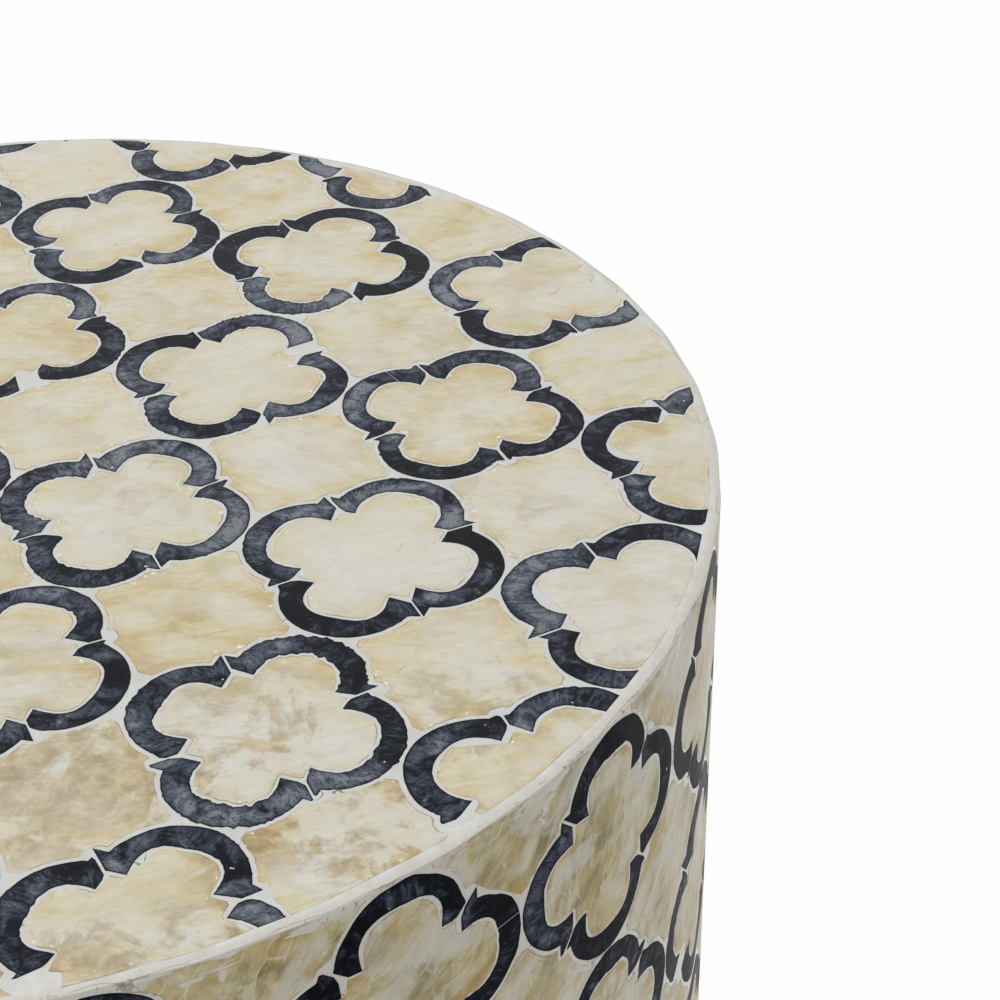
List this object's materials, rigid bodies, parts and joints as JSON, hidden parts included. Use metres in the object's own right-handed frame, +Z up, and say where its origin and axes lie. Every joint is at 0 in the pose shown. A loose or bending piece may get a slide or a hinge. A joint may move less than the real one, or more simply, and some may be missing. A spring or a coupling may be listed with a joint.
{
  "type": "drum stool",
  "caption": "Closed round drum stool with a flat top, covered with pale and dark shell quatrefoil marquetry in white resin, on low glides.",
  "frame": {"origin": "on the floor, below the middle of the drum", "axes": "+Z up along the drum's axis"},
  "size_m": [0.406, 0.406, 0.457],
  "materials": {
    "dark_shell": "blue-black shell arcs on a black-sealed board, glossy",
    "pale_shell": "cream shell in white resin under a clear gloss coat",
    "wall_shell": "olive-tan shell in white resin under a clear gloss coat",
    "white_resin": "white resin under a clear gloss coat",
    "plywood": "raw bending plywood",
    "softwood": "planed softwood",
    "fibreboard": "raw fibreboard",
    "nylon": "moulded nylon"
  },
  "bodies": {
    "root": {"top_board": "dark_shell", "top_shell_sheet": "pale_shell", "rim_band": "white_resin", "wall_shell_sheet": "wall_shell", "foot_band": "white_resin", "wall_skin_front": "plywood", "wall_skin_back": "plywood", "upper_hoop": "plywood", "middle_hoop": "plywood", "lower_hoop": "plywood", "stile_1": "softwood", "stile_2": "softwood", "stile_3": "softwood", "stile_4": "softwood", "stile_5": "softwood", "stile_6": "softwood", "stile_7": "softwood", "stile_8": "softwood", "base_board": "fibreboard", "glide_1": "nylon", "glide_2": "nylon", "glide_3": "nylon", "glide_4": "nylon"}
  },
  "joints": []
}
